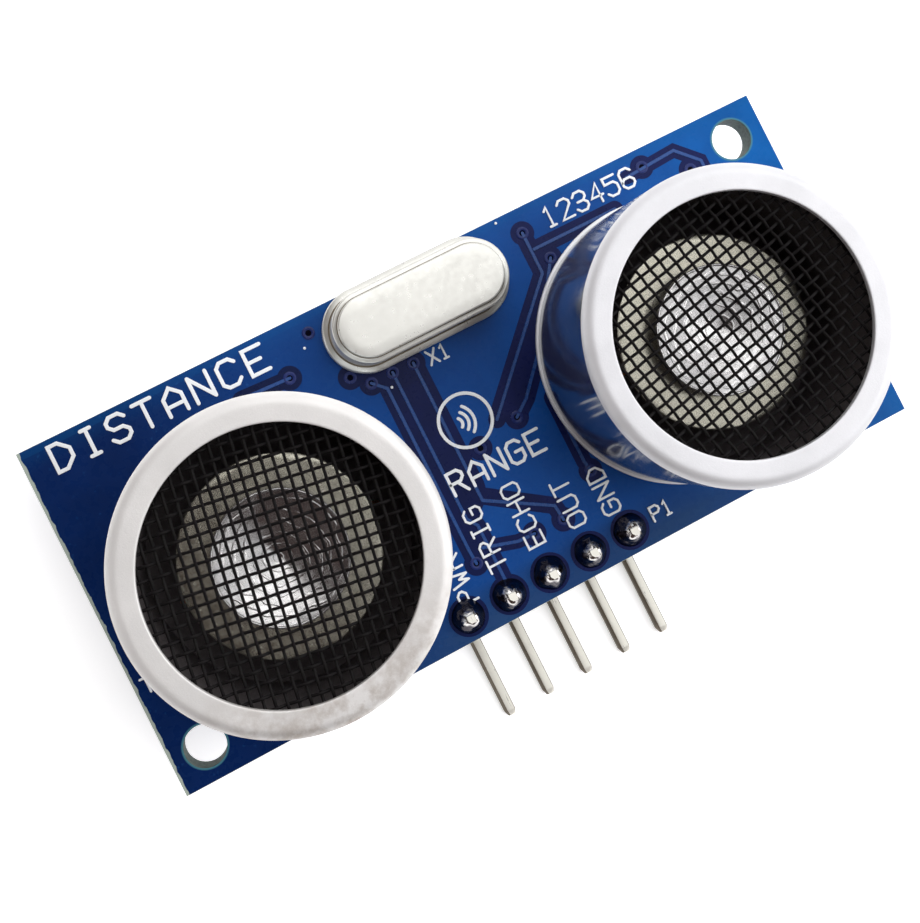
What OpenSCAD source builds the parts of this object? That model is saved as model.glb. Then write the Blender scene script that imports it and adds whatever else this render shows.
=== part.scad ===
// Ultrasonic distance sensor: two open 40 kHz transducers, a crystal and a five-pin
// right-angle header on one circuit board, lying on its back with the transducers up.
// Origin: midway between the two mounting holes, on the board's rear face.
// +X runs along the board from the transmitter to the receiver, +Y towards the edge
// beside the crystal, and +Z the way the transducers face. All sizes in mm.

/* [Board] */
// Length of the board
board_l = 45.2; // [45:0.1:46]
// Width of the board
board_w = 20.2; // [20.2:0.1:21]
// Thickness of the board
board_t = 1.6; // [1.4:0.1:1.8]
// Diameter of the two mounting holes
mount_d = 2.3; // [2:0.1:2.4]
// Distance of each mounting hole from the middle, along the board
mount_x = 20.6; // [20.4:0.1:20.8]
// Distance of each mounting hole from the middle, across the board
mount_y = 8.2; // [8:0.1:8.3]

/* [Transducers] */
// Distance of each transducer's axis from the middle of the board
can_x = 12.4; // [12.2:0.1:13]
// Offset of both transducers across the board
can_y = -0.55; // [-0.8:0.05:0]
// Outer diameter of the can
can_d = 16; // [15.9:0.1:16.2]
// Height of the can above the board
can_h = 12.2; // [12:0.1:12.6]
// Wall thickness of the can
can_wall = 0.4; // [0.3:0.05:0.5]
// Diameter of the mouth in the can's front
mouth_d = 13.1; // [12.8:0.1:13.4]
// Diameter of the vibrating plate
plate_d = 10.2; // [10:0.1:10.6]
// Diameter of the horn's rim
horn_d = 6.8; // [6:0.1:7]
// Distance between the two terminals of a transducer
terminal_pitch = 10; // [9.8:0.1:10.2]

/* [Header] */
// Distance between neighbouring pins
pin_pitch = 2.54; // [2.54:0.01:2.55]
// Side of a square pin
pin_side = 0.64; // [0.6:0.01:0.66]
// Position of the row of pins across the board
pin_y = -8.75; // [-8.8:0.05:-8.7]
// Depth of the level run of the pins behind the board
pin_drop = 3.5; // [3.5:0.1:4]
// Length of the pins past the board's edge
pin_reach = 5.7; // [4:0.1:7]

/* [Crystal] */
// Length of the crystal's flange
crystal_l = 11; // [10.8:0.1:11.2]
// Width of the crystal's flange
crystal_w = 4.8; // [4.6:0.1:5.0]
// Height of the crystal above the board
crystal_h = 3.6; // [3.4:0.1:4]
// Position of the crystal across the board
crystal_y = 7.75; // [7.6:0.05:7.75]

/* [Rear side] */
// Length of the microcontroller's and the amplifier's package
chip_l = 8.7; // [8.6:0.1:8.8]
// Length of the driver's package
driver_l = 9.9; // [9.8:0.1:10]
// Distance of each column of chip resistors from the middle
resistor_x = 4.9; // [4.8:0.1:5.2]
// Distance of each column of chip capacitors from the middle
capacitor_x = 20.2; // [20:0.1:20.6]

/* [Hidden] */
$fn = 96;
eps = 0.01;
gap = 0.05;         // clearance between pieces that fit into each other
can_r = can_d / 2;
bore_r = can_r - can_wall;
shoulder_r = 0.6;
lip_r = can_r + 0.12;
lip_h = 0.3;
screen_t = 0.34;    // two crossing wires
screen_z = can_h - can_wall - screen_t;

base_r = bore_r - gap;
base_t = 2;
base_wall = 0.6;
boss_r = 3.8;
boss_bore_r = 2.2;
boss_top = 5;
seat_t = 1;
seat_side = 0.2;    // how far the elastic seat stays inside the boss's edges
piezo_r = 4.3;
piezo_t = 0.45;
plate_t = 0.5;
plate_z = boss_top + seat_t + piezo_t;
horn_z = plate_z + plate_t;
horn_h = 1.4;
horn_foot_r = 0.9;
horn_wall = 0.15;

terminal_r = 0.4;
terminal_top = 3;
terminal_below = 1.2;
wire_r = 0.12;
wire_knee = 0.45;   // how far a lead wire bows out on its way up

land_t = 0.05;
land_r = 0.85;
barrel_r = 0.6;
barrel_bore_r = 0.5;
crystal_barrel_r = 0.45;
crystal_barrel_bore_r = 0.35;
crystal_land_r = 0.75;

pin_count = 5;
pin_above = 1.25;   // how far a pin stands out of the board's front
pin_top_taper = 0.3;
pin_tip_taper = 0.3;
pin_tip_scale = 0.68;
pin_bend_r = 0.62;  // to the middle of the pin
header_t = 2.54;
header_w = 2.48;
header_corner = 0.4;

crystal_rim = 0.42;
crystal_body_l = crystal_l - 2 * crystal_rim;
crystal_body_w = crystal_w - 2 * crystal_rim;
crystal_wall = 0.25;
crystal_step = 0.3;
crystal_flange_t = 0.3;
crystal_base_t = 0.35;
crystal_plug_h = 0.9;
crystal_lead_pitch = 4.88;
crystal_lead_r = 0.215;
crystal_lead_top = 1.2;
crystal_lead_below = 1.1;
seal_r = 0.7;
blank_l = 7;
blank_w = 1.8;
blank_t = 0.12;
blank_z = 2.1;
clip_t = 0.15;
clip_w = 0.8;
clip_x = 3.2;

chip_w = 3.9;
chip_h = 1.4;
chip_stand = 0.1;
chip_draft = 0.12;
chip_pitch = 1.27;
chip_span = 6;
lead_w = 0.42;
lead_t = 0.2;
foot_l = 0.6;

passive_l = 1.6;
passive_w = 0.8;
passive_end = 0.3;
resistor_h = 0.45;
capacitor_h = 0.8;
resistor_y = [for (i = [0:3]) -4.4 + 2.6 * i];
capacitor_y = [for (i = [0:3]) -3.9 + 2.6 * i];

transistor_l = 2.9;
transistor_w = 1.3;
transistor_h = 1;
transistor_pitch = 1.9;
transistor_span = 2.4;
transistor_at = [8.6, 7.4];

transmitter_side = -1;
receiver_side = 1;
sides = [transmitter_side, receiver_side];

// ---- Placing ----

module on_front() {
    translate([0, 0, board_t]) children();
}

// Pieces on the rear are drawn upwards and turned over with this
module on_rear() {
    mirror([0, 0, 1]) children();
}

module at_transducer(side) {
    translate([side * can_x, can_y, 0]) on_front() children();
}

module at_terminals() {
    for (s = sides) translate([s * terminal_pitch / 2, 0, 0]) children();
}

module at_crystal() {
    translate([0, crystal_y, 0]) on_front() children();
}

module at_crystal_leads() {
    for (s = sides) translate([s * crystal_lead_pitch / 2, 0, 0]) children();
}

function pin_x(i) = (i - (pin_count - 1) / 2) * pin_pitch;

module at_pins() {
    for (i = [0:pin_count - 1]) translate([pin_x(i), pin_y, 0]) children();
}

// ---- Shapes that repeat ----

module tube(outer, inner, h) {
    difference() {
        cylinder(r = outer, h = h);
        translate([0, 0, -1]) cylinder(r = inner, h = h + 2);
    }
}

module slot_shape(l, w) {
    for (s = sides) translate([s * (l - w) / 2, 0]) circle(d = w);
    square([l - w, w], center = true);
}

module slot_block(l, w, h) {
    linear_extrude(height = h) slot_shape(l, w);
}

module solder_cone(foot, top, h, hole) {
    difference() {
        cylinder(r1 = foot, r2 = top, h = h);
        translate([0, 0, -1]) cylinder(r = hole, h = h + 2);
    }
}

// A barrel through the board, with a land on the rear and, if asked, on the front
module plated_hole(outer, inner, land, front) {
    difference() {
        union() {
            cylinder(r = outer, h = board_t);
            translate([0, 0, -land_t]) cylinder(r = land, h = land_t + eps);
            if (front) translate([0, 0, board_t - eps]) cylinder(r = land, h = land_t + eps);
        }
        translate([0, 0, -1]) cylinder(r = inner, h = board_t + 2);
    }
}

// ---- Board ----

module circuit_board() {
    color("#12469c") difference() {
        translate([-board_l / 2, -board_w / 2, 0]) cube([board_l, board_w, board_t]);
        for (s = sides) translate([s * mount_x, s * mount_y, -1])
            cylinder(d = mount_d, h = board_t + 2);
        translate([0, 0, -1]) {
            at_pins() cylinder(r = barrel_r, h = board_t + 2);
            for (s = sides) translate([s * can_x, can_y, 0]) at_terminals()
                cylinder(r = barrel_r, h = board_t + 2);
            translate([0, crystal_y, 0]) at_crystal_leads()
                cylinder(r = crystal_barrel_r, h = board_t + 2);
        }
    }
}

module plated_holes() {
    color("#c8c9c4") {
        at_pins() plated_hole(barrel_r, barrel_bore_r, land_r, true);
        for (s = sides) translate([s * can_x, can_y, 0]) at_terminals()
            plated_hole(barrel_r, barrel_bore_r, land_r, false);
        translate([0, crystal_y, 0]) at_crystal_leads()
            plated_hole(crystal_barrel_r, crystal_barrel_bore_r, crystal_land_r, false);
    }
}

// ---- Header ----

module header_cell() {
    w = pin_pitch / 2;
    d = header_w / 2;
    c = header_corner;
    linear_extrude(height = header_t) difference() {
        polygon([
            [-w, c - d], [c - w, -d], [w - c, -d], [w, c - d],
            [w, d - c], [w - c, d], [c - w, d], [-w, d - c],
        ]);
        square(pin_side + 2 * gap, center = true);
    }
}

module header_body() {
    color("#1a1a1c") translate([0, 0, -header_t - land_t]) at_pins() header_cell();
}

module header_solder() {
    color("#d3d4d6") at_pins() translate([0, 0, board_t + land_t]) difference() {
        cylinder(r1 = 0.8, r2 = 0.5, h = 0.8);
        translate([0, 0, 0.4]) cube([pin_side + gap, pin_side + gap, 2], center = true);
    }
}

module pin_taper(h) {
    linear_extrude(height = h, scale = pin_tip_scale) square(pin_side, center = true);
}

// One bent pin: a leg through the board, a bend, and a level run past the board's edge
module header_pin(i) {
    leg_bottom = pin_bend_r - pin_drop;
    leg_top = board_t + pin_above - pin_top_taper;
    run_start = pin_y - pin_bend_r;
    run_end = pin_tip_taper - board_w / 2 - pin_reach;
    half = pin_side / 2;
    color("#d9d4c4") translate([pin_x(i), 0, 0]) {
        translate([-half, pin_y - half, leg_bottom])
            cube([pin_side, pin_side, leg_top - leg_bottom]);
        translate([0, pin_y, leg_top]) pin_taper(pin_top_taper);
        translate([0, run_start, leg_bottom]) rotate([0, 90, 0])
            rotate_extrude(angle = 90) translate([pin_bend_r - half, -half])
                square(pin_side);
        translate([-half, run_end, -pin_drop - half])
            cube([pin_side, run_start - run_end, pin_side]);
        translate([0, run_end, -pin_drop]) rotate([90, 0, 0]) pin_taper(pin_tip_taper);
    }
}

module pin_supply() { header_pin(0); }
module pin_trigger() { header_pin(1); }
module pin_echo() { header_pin(2); }
module pin_output() { header_pin(3); }
module pin_ground() { header_pin(4); }

// ---- Transducers ----

module can() {
    color("#dcdde2") rotate_extrude() difference() {
        union() {
            square([can_r - shoulder_r, can_h]);
            square([can_r, can_h - shoulder_r]);
            translate([can_r - shoulder_r, can_h - shoulder_r]) circle(r = shoulder_r);
            square([lip_r, lip_h]);
        }
        translate([-1, -1]) square([bore_r + 1, can_h - can_wall + 1]);
        translate([-1, -1]) square([mouth_d / 2 + 1, can_h + 2]);
    }
}

module screen() {
    color("#1b1a1d") translate([0, 0, screen_z]) cylinder(r = base_r, h = screen_t - gap);
}

// A moulded cup with a boss in the middle for the seat and holes for the terminals
module base() {
    color("#141416") difference() {
        union() {
            cylinder(r = base_r, h = base_t);
            tube(base_r, base_r - base_wall, screen_z - gap);
            cylinder(r = boss_r, h = boss_top);
        }
        translate([0, 0, base_t]) cylinder(r = boss_bore_r, h = boss_top);
        translate([0, 0, -1]) at_terminals() cylinder(r = terminal_r + gap, h = base_t + 2);
    }
}

module seat() {
    color("#e7e3d6") translate([0, 0, boss_top])
        tube(boss_r - seat_side, boss_bore_r + seat_side, seat_t);
}

module piezo() {
    color("#cfc8b4") translate([0, 0, boss_top + seat_t]) cylinder(r = piezo_r, h = piezo_t);
}

module plate() {
    color("#b9b59c") translate([0, 0, plate_z]) cylinder(d = plate_d, h = plate_t);
}

// A thin conical dish that stands on the vibrating plate
module horn() {
    rim_r = horn_d / 2;
    color("#e6e6ea") translate([0, 0, horn_z]) rotate_extrude() polygon([
        [0, 0], [horn_foot_r, 0], [rim_r, horn_h - horn_wall], [rim_r, horn_h],
        [rim_r - horn_wall, horn_h], [horn_foot_r - horn_wall, 2 * horn_wall],
        [0, 2 * horn_wall],
    ]);
}

module terminals() {
    below = board_t + terminal_below;
    color("#cfd0d4") at_terminals() translate([0, 0, -below])
        cylinder(r = terminal_r, h = below + terminal_top);
}

// A round wire through points in the XZ plane
module wire(points) {
    for (i = [0:len(points) - 2]) {
        step = points[i + 1] - points[i];
        translate([points[i].x, 0, points[i].y]) rotate([0, atan2(step.x, step.y), 0])
            cylinder(r = wire_r, h = norm(step));
    }
    for (i = [1:len(points) - 2])
        translate([points[i].x, 0, points[i].y]) sphere(r = wire_r * 1.1);
}

// One wire ends on the vibrating plate's edge, the other on the ceramic disc's back
module wires() {
    x = terminal_pitch / 2;
    knee_z = (terminal_top + plate_z) / 2;
    plate_end = (piezo_r + plate_d / 2) / 2;
    piezo_end = (boss_r + piezo_r) / 2;
    color("#b5562a") {
        wire([[x, terminal_top], [x + wire_knee, knee_z], [plate_end, plate_z - gap]]);
        wire([[-x, terminal_top], [-x - wire_knee, knee_z - wire_knee],
            [-piezo_end, boss_top + seat_t - gap]]);
    }
}

module terminal_solder() {
    color("#d3d4d6") translate([0, 0, -board_t]) on_rear() translate([0, 0, land_t])
        at_terminals() solder_cone(0.8, 0.5, 0.8, terminal_r + gap / 2);
}

module transmitter_can() { at_transducer(transmitter_side) can(); }
module transmitter_screen() { at_transducer(transmitter_side) screen(); }
module transmitter_base() { at_transducer(transmitter_side) base(); }
module transmitter_seat() { at_transducer(transmitter_side) seat(); }
module transmitter_piezo() { at_transducer(transmitter_side) piezo(); }
module transmitter_plate() { at_transducer(transmitter_side) plate(); }
module transmitter_horn() { at_transducer(transmitter_side) horn(); }
module transmitter_terminals() { at_transducer(transmitter_side) terminals(); }
module transmitter_wires() { at_transducer(transmitter_side) wires(); }
module transmitter_solder() { at_transducer(transmitter_side) terminal_solder(); }

module receiver_can() { at_transducer(receiver_side) can(); }
module receiver_screen() { at_transducer(receiver_side) screen(); }
module receiver_base() { at_transducer(receiver_side) base(); }
module receiver_seat() { at_transducer(receiver_side) seat(); }
module receiver_piezo() { at_transducer(receiver_side) piezo(); }
module receiver_plate() { at_transducer(receiver_side) plate(); }
module receiver_horn() { at_transducer(receiver_side) horn(); }
module receiver_terminals() { at_transducer(receiver_side) terminals(); }
module receiver_wires() { at_transducer(receiver_side) wires(); }
module receiver_solder() { at_transducer(receiver_side) terminal_solder(); }

// ---- Crystal ----

module crystal_can() {
    inner_l = crystal_body_l - 2 * crystal_wall;
    inner_w = crystal_body_w - 2 * crystal_wall;
    color("#e4e0d6") at_crystal() translate([0, 0, crystal_base_t]) difference() {
        union() {
            slot_block(crystal_l, crystal_w, crystal_flange_t);
            slot_block(crystal_body_l, crystal_body_w,
                crystal_h - crystal_base_t - crystal_step);
            slot_block(crystal_body_l - 2 * crystal_step, crystal_body_w - 2 * crystal_step,
                crystal_h - crystal_base_t);
        }
        translate([0, 0, -1]) slot_block(inner_l, inner_w,
            crystal_h - crystal_base_t - crystal_step - crystal_wall + 1);
    }
}

module crystal_base() {
    plug = 2 * (crystal_wall + gap);
    color("#cfccc4") at_crystal() difference() {
        union() {
            slot_block(crystal_l, crystal_w, crystal_base_t);
            slot_block(crystal_body_l - plug, crystal_body_w - plug, crystal_plug_h);
        }
        translate([0, 0, -1]) at_crystal_leads() cylinder(r = seal_r, h = crystal_plug_h + 2);
    }
}

module crystal_seals() {
    color("#3f6f66") at_crystal() at_crystal_leads()
        tube(seal_r, crystal_lead_r, crystal_plug_h);
}

module crystal_leads() {
    below = board_t + crystal_lead_below;
    color("#cfd0d4") at_crystal() at_crystal_leads() translate([0, 0, -below])
        cylinder(r = crystal_lead_r, h = below + crystal_lead_top);
}

module crystal_clips() {
    lead_x = crystal_lead_pitch / 2;
    color("#cdbb7e") at_crystal() for (s = sides) scale([s, 1, 1]) translate([0, -clip_w / 2, 0]) {
        translate([lead_x - clip_w / 2, 0, crystal_lead_top])
            cube([clip_x - lead_x + clip_w / 2, clip_w, clip_t]);
        translate([clip_x - clip_t, 0, crystal_lead_top])
            cube([clip_t, clip_w, blank_z - crystal_lead_top]);
    }
}

module crystal_blank() {
    color("#e8eef2") at_crystal() translate([-blank_l / 2, -blank_w / 2, blank_z])
        cube([blank_l, blank_w, blank_t]);
}

module crystal_solder() {
    color("#d3d4d6") translate([0, crystal_y, 0]) on_rear() translate([0, 0, land_t])
        at_crystal_leads() solder_cone(0.65, 0.32, 0.8, crystal_lead_r + gap / 2);
}

// ---- Rear side ----

// A moulded package of length l along Y, its long sides drafted to a parting line
module chip_body(l) {
    half = chip_w / 2;
    top = chip_stand + chip_h;
    mid = chip_stand + chip_h / 2;
    color("#232325") difference() {
        translate([0, l / 2, 0]) rotate([90, 0, 0]) linear_extrude(height = l) polygon([
            [chip_draft - half, chip_stand], [half - chip_draft, chip_stand], [half, mid],
            [half - chip_draft, top], [chip_draft - half, top], [-half, mid],
        ]);
        translate([chip_w / 4, l / 2 - 1, top - 0.1]) cylinder(r = 0.35, h = 1);
    }
}

// A lead leaves the package at mid-height, bends down and ends in a foot on the board
module gull_lead(body_w, span, mid) {
    reach = (span - body_w) / 2;
    color("#c9cacd") translate([body_w / 2, lead_w / 2, 0]) rotate([90, 0, 0])
        linear_extrude(height = lead_w) polygon([
            [0, mid - lead_t / 2], [reach - foot_l, mid - lead_t / 2],
            [reach - foot_l, 0], [reach, 0], [reach, lead_t],
            [reach - foot_l + lead_t, lead_t],
            [reach - foot_l + lead_t, mid + lead_t / 2], [0, mid + lead_t / 2],
        ]);
}

module chip_leads(per_side) {
    for (s = sides, i = [0:per_side - 1])
        translate([0, (i - (per_side - 1) / 2) * chip_pitch, 0]) scale([s, 1, 1])
            gull_lead(chip_w, chip_span, chip_stand + chip_h / 2);
}

module at_amplifier() { on_rear() translate([-can_x, 0.6, 0]) children(); }
module at_microcontroller() { on_rear() translate([0, 0, 0]) children(); }
module at_driver() { on_rear() translate([can_x, 0.6, 0]) children(); }

module microcontroller_body() { at_microcontroller() chip_body(chip_l); }
module microcontroller_leads() { at_microcontroller() chip_leads(7); }
module amplifier_body() { at_amplifier() chip_body(chip_l); }
module amplifier_leads() { at_amplifier() chip_leads(7); }
module driver_body() { at_driver() chip_body(driver_l); }
module driver_leads() { at_driver() chip_leads(8); }

module at_transistors() {
    for (s = sides) on_rear() translate([s * transistor_at.x, transistor_at.y, 0]) children();
}

module transistor_bodies() {
    color("#232325") at_transistors()
        translate([-transistor_l / 2, -transistor_w / 2, chip_stand])
            cube([transistor_l, transistor_w, transistor_h]);
}

module transistor_leads() {
    at_transistors() {
        for (s = sides) translate([s * transistor_pitch / 2, 0, 0]) rotate(-90)
            gull_lead(transistor_w, transistor_span, chip_stand + transistor_h / 2);
        rotate(90) gull_lead(transistor_w, transistor_span, chip_stand + transistor_h / 2);
    }
}

module at_resistors() {
    for (s = sides, y = resistor_y) on_rear() translate([s * resistor_x, y, 0]) children();
}

module at_capacitors() {
    for (s = sides, y = capacitor_y) on_rear() translate([s * capacitor_x, y, 0]) children();
}

module passive_body(h) {
    l = passive_l - 2 * passive_end;
    translate([-passive_w / 2, -l / 2, 0]) cube([passive_w, l, h]);
}

module passive_terminals(h) {
    for (s = sides) translate([0, s * (passive_l - passive_end) / 2, h / 2])
        cube([passive_w, passive_end, h], center = true);
}

module resistor_bodies() { color("#1d1d20") at_resistors() passive_body(resistor_h); }
module resistor_terminals() { color("#cbccce") at_resistors() passive_terminals(resistor_h); }
module capacitor_bodies() { color("#b08a5e") at_capacitors() passive_body(capacitor_h); }
module capacitor_terminals() { color("#cbccce") at_capacitors() passive_terminals(capacitor_h); }

// ---- Assembly ----

circuit_board();
plated_holes();
header_body();
header_solder();
pin_supply();
pin_trigger();
pin_echo();
pin_output();
pin_ground();
transmitter_can();
transmitter_screen();
transmitter_base();
transmitter_seat();
transmitter_piezo();
transmitter_plate();
transmitter_horn();
transmitter_terminals();
transmitter_wires();
transmitter_solder();
receiver_can();
receiver_screen();
receiver_base();
receiver_seat();
receiver_piezo();
receiver_plate();
receiver_horn();
receiver_terminals();
receiver_wires();
receiver_solder();
crystal_can();
crystal_base();
crystal_seals();
crystal_leads();
crystal_blank();
crystal_clips();
crystal_solder();
microcontroller_body();
microcontroller_leads();
amplifier_body();
amplifier_leads();
driver_body();
driver_leads();
transistor_bodies();
transistor_leads();
resistor_bodies();
resistor_terminals();
capacitor_bodies();
capacitor_terminals();
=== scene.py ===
"""The looks of the ultrasonic distance sensor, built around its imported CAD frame.

Sizes and places are in millimetres in the CAD's frame and become metres as a mesh is made.
"""
import math
import random

import bmesh
import bpy
from mathutils import Matrix, Vector, noise


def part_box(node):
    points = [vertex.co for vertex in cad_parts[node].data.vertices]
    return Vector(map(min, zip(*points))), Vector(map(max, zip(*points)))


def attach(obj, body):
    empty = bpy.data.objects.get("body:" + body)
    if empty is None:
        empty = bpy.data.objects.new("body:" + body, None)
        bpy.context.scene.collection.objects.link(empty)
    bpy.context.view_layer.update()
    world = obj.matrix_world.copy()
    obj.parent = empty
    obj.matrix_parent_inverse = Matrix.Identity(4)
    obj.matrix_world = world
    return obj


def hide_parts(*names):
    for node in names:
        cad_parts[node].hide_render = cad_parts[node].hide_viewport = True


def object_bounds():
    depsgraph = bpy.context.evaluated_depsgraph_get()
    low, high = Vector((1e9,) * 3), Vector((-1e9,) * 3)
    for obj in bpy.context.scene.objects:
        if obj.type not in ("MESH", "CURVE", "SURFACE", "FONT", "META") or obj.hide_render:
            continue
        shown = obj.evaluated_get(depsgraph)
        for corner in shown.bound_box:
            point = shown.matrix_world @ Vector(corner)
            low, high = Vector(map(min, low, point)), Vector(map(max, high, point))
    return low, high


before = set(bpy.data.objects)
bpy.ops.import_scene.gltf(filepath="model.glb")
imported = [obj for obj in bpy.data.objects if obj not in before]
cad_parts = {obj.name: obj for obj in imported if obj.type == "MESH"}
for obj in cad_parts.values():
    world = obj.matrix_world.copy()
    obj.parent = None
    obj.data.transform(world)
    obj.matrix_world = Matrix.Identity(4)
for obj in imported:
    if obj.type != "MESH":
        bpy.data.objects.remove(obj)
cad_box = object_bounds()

MM = 0.001
TAU = 2 * math.pi
# CAD vertices this close, in metres, are one vertex
SAME_PLACE = 1e-7
random.seed(5)


# ---- Places taken from the frame ----

def corners(node):
    """The lowest and highest corners of a CAD node, in mm."""
    low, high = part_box(node)
    return low / MM, high / MM


def islands(node):
    """The lowest and highest corners of each separate solid in a CAD node, in mm."""
    mesh = bmesh.new()
    mesh.from_mesh(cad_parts[node].data)
    bmesh.ops.remove_doubles(mesh, verts=mesh.verts, dist=SAME_PLACE)
    waiting = set(mesh.verts)
    found = []
    while waiting:
        reached = [waiting.pop()]
        for vertex in reached:
            near = {edge.other_vert(vertex) for edge in vertex.link_edges} & waiting
            waiting -= near
            reached += near
        columns = list(zip(*(vertex.co / MM for vertex in reached)))
        low = Vector([min(column) for column in columns])
        high = Vector([max(column) for column in columns])
        found.append((low, high))
    mesh.free()
    return sorted(found, key=lambda box: (round(box[0].x, 2), round(box[0].y, 2)))


BOARD_LOW, BOARD_HIGH = corners("circuit_board")
FRONT = BOARD_HIGH.z
REAR = BOARD_LOW.z
PINS = ["pin_supply", "pin_trigger", "pin_echo", "pin_output", "pin_ground"]
TRANSDUCERS = ["transmitter", "receiver"]
CHIPS = ["microcontroller", "amplifier", "driver"]
# The two mounting holes, where part.scad drills them
HOLES = [Vector((20.6, 8.2)), Vector((-20.6, -8.2))]
HOLE_RADIUS = 1.15


# ---- Camera ----

def add_object(name, data):
    made = bpy.data.objects.new(name, data)
    bpy.context.scene.collection.objects.link(made)
    return made


def make_camera():
    """The photograph's viewing angle, which looks down on the board from past the transmitter."""
    place = Vector((-9.92, 5.14, 82.07)) * MM
    aim = Vector((2.35, 5.68, 1.6)) * MM
    up = Vector((0.4439, 0.8930, 0.0737))
    data = bpy.data.cameras.new("camera")
    data.lens = 57.28
    data.sensor_width = 36
    data.shift_x = -0.0108
    data.shift_y = -0.1534
    data.clip_start = 0.005
    camera = add_object("camera", data)
    backward = (place - aim).normalized()
    right = up.cross(backward).normalized()
    upward = backward.cross(right)
    turn = Matrix((right, upward, backward)).transposed()
    camera.matrix_world = Matrix.Translation(place) @ turn.to_4x4()
    bpy.context.scene.camera = camera


make_camera()


# ---- Materials ----

class Tree:
    """Short calls that add and join the nodes of a material or of the world."""

    def __init__(self, owner):
        owner.use_nodes = True
        self.nodes = owner.node_tree.nodes
        self.links = owner.node_tree.links

    def add(self, kind, **settings):
        node = self.nodes.new(kind)
        for key, value in settings.items():
            setattr(node, key, value)
        return node

    def feed(self, socket, source):
        """Joins a node's output to a socket, or sets the socket to a number or colour."""
        if isinstance(source, bpy.types.NodeSocket):
            self.links.new(source, socket)
        else:
            socket.default_value = source

    def math(self, operation, first, second=0.0):
        node = self.add("ShaderNodeMath", operation=operation)
        for socket, source in zip(node.inputs, (first, second)):
            self.feed(socket, source)
        return node.outputs["Value"]

    def ranged(self, source, low, high, to_low=0.0, to_high=1.0, kind="LINEAR"):
        """Maps low to to_low and high to to_high, and stops at both."""
        node = self.add("ShaderNodeMapRange", interpolation_type=kind)
        for socket, value in zip(node.inputs, (source, low, high, to_low, to_high)):
            self.feed(socket, value)
        return node.outputs["Result"]

    def blend(self, factor, first, second):
        """The first colour where factor is 0 and the second where it is 1."""
        node = self.add("ShaderNodeMix", data_type="RGBA")
        for name, source in (("Factor", factor), ("A", first), ("B", second)):
            self.feed(node.inputs[name], (*source, 1) if isinstance(source, tuple) else source)
        return node.outputs["Result"]


class Look(Tree):
    """A material with one Principled shader, and short calls that feed it."""

    def __init__(self, name, **constants):
        self.material = bpy.data.materials.new(name)
        super().__init__(self.material)
        self.surface = self.nodes["Principled BSDF"]
        for socket, value in constants.items():
            self.surface.inputs[socket.replace("_", " ")].default_value = value
        self.place = self.add("ShaderNodeTexCoord").outputs["Object"]

    def stretched(self, scale):
        """The place in the object, scaled along each axis, for a noise that has a grain."""
        node = self.add("ShaderNodeMapping")
        node.inputs["Scale"].default_value = scale
        self.feed(node.inputs["Vector"], self.place)
        return node.outputs["Vector"]

    def noise(self, size, detail=3.0, place=None, roughness=0.5):
        """A noise whose blobs are about size mm across."""
        node = self.add("ShaderNodeTexNoise")
        self.feed(node.inputs["Vector"], place or self.place)
        node.inputs["Scale"].default_value = 1 / (size * MM)
        node.inputs["Detail"].default_value = detail
        node.inputs["Roughness"].default_value = roughness
        return node.outputs["Fac"]

    def colour(self, source):
        self.feed(self.surface.inputs["Base Color"], source)

    def roughness(self, source):
        self.feed(self.surface.inputs["Roughness"], source)

    def bump(self, source, depth):
        """Raises the surface by up to depth mm where source is 1."""
        node = self.add("ShaderNodeBump")
        node.inputs["Distance"].default_value = depth * MM
        self.feed(node.inputs["Height"], source)
        self.feed(self.surface.inputs["Normal"], node.outputs["Normal"])

    def axis(self, letter):
        """The place along X, Y or Z, in metres."""
        node = self.add("ShaderNodeSeparateXYZ")
        self.feed(node.inputs["Vector"], self.place)
        return node.outputs[letter]

    def radius_from(self, centre):
        """The distance from an upright axis through centre, in mm."""
        offset = self.place
        for operation, constant in (("SUBTRACT", (centre.x * MM, centre.y * MM, 0)),
                                    ("MULTIPLY", (1 / MM, 1 / MM, 0))):
            node = self.add("ShaderNodeVectorMath", operation=operation)
            self.feed(node.inputs[0], offset)
            node.inputs[1].default_value = constant
            offset = node.outputs["Vector"]
        length = self.add("ShaderNodeVectorMath", operation="LENGTH")
        self.feed(length.inputs[0], offset)
        return length.outputs["Value"]


def shade(colour, factor):
    return tuple(min(1.0, c * factor) for c in colour)


def plain_look(name, colour, roughness, metallic=0.0, spread=0.12, blotch=0.8,
               grain=0.12, depth=0.004, stretch=(1, 1, 1), **constants):
    """A material whose colour and gloss vary in blotches, with a fine grain in its surface."""
    look = Look(name, Metallic=metallic, **constants)
    blotches = look.noise(blotch)
    fine = look.noise(grain, detail=2.0, place=look.stretched(stretch))
    look.colour(look.blend(blotches, shade(colour, 1 - spread), shade(colour, 1 + spread)))
    look.roughness(look.ranged(fine, 0.3, 0.7, roughness * 0.85, roughness * 1.15))
    look.bump(fine, depth)
    return look.material


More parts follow.
